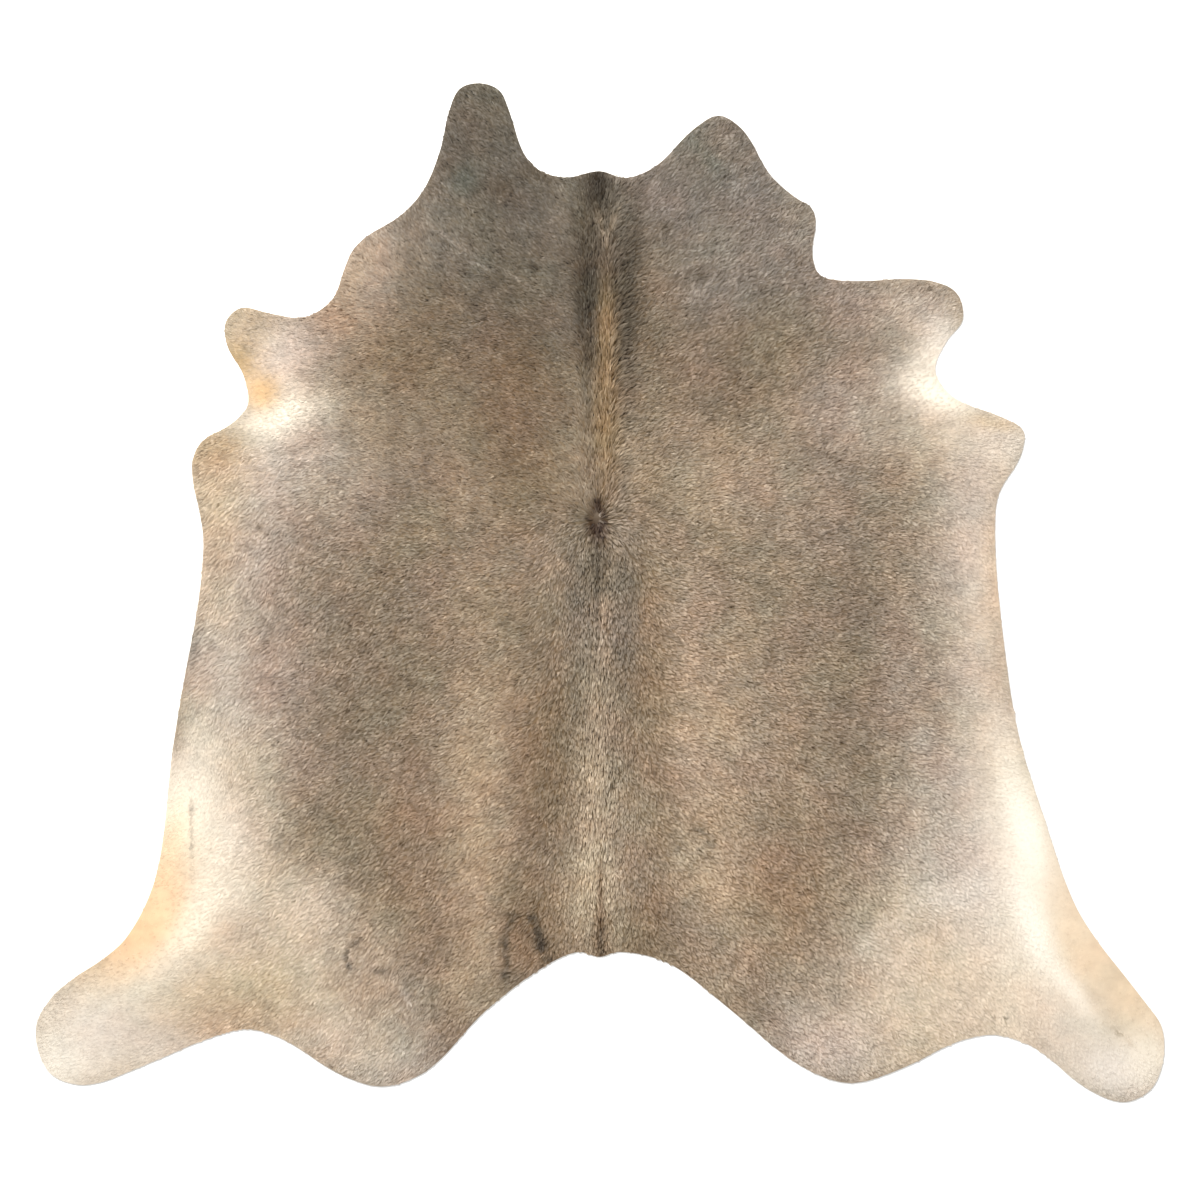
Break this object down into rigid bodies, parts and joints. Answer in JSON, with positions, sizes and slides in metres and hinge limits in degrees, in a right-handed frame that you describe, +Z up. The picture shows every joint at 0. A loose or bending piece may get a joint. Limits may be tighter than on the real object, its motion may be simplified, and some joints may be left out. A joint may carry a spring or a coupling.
{
  "type": "cowhide rug",
  "caption": "Whole cowhide rug with its coat on, lying flat: natural outline with neck, foreleg and hind leg lobes, a darker back strip and pale flanks.",
  "frame": {"origin": "middle of the underside's bounding box, where the rug meets the floor", "axes": "+Z up out of the coat, +Y towards the neck end along the back, +X towards the hide's edge that lies on the right when the neck points away"},
  "size_m": [2.3, 2.077, 0.0074],
  "materials": {
    "hair_on_hide": "short dense grey-taupe hair with tan patches, ivory flanks and a dark back strip, lying flat on tanned skin; plain suede underneath"
  },
  "bodies": {
    "root": {"hide": "hair_on_hide"}
  },
  "joints": []
}
